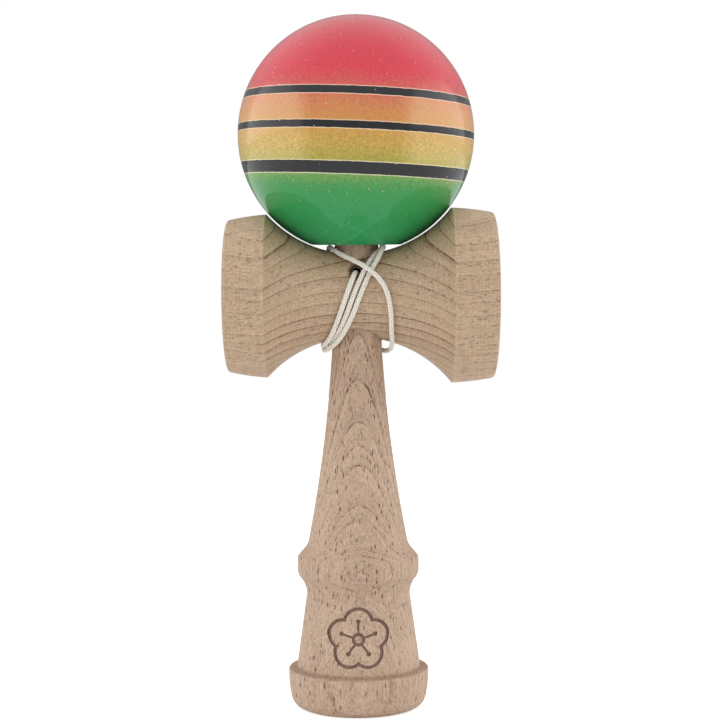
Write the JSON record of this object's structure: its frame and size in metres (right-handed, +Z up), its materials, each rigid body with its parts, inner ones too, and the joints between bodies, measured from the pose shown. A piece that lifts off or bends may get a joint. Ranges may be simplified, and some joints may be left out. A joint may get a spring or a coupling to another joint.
{
  "type": "kendama",
  "caption": "Kendama cup-and-ball toy: turned wooden handle with a spike, a cross piece with two cups, a painted bored ball and a braided string.",
  "frame": {"origin": "on the ken's axis, in the plane of the base rim that the toy stands on", "axes": "+Z up along the ken to the spike, +X from the small cup to the big cup, -Y the front with the string hole and the emblem"},
  "size_m": [0.0674, 0.0615, 0.1762],
  "materials": {
    "handle_wood": "sanded bare beech",
    "cross_wood": "sanded bare beech",
    "ball_paint": "sprayed bands under gloss lacquer",
    "bead_wood": "sanded",
    "string": "braided"
  },
  "bodies": {
    "ken": {"ken": "handle_wood", "sarado": "cross_wood", "string_knot_ken": "string", "string_windings": "string", "string_riser": "string"},
    "string_end": {"bead": "bead_wood", "string_knot_tama": "string", "string_crown": "string"},
    "tama": {"tama": "ball_paint"}
  },
  "joints": [
    {"name": "tama_lift", "type": "slide", "parent": "ken", "child": "string_end", "axis": [0, 0, 1], "range_m": [0, 0.05], "deforming": ["string_riser"]},
    {"name": "tama_spin", "type": "hinge", "parent": "string_end", "child": "tama", "pos_m": [0, 0, 0.1445], "axis": [0, -0.0906, 0.9959], "continuous": true}
  ]
}
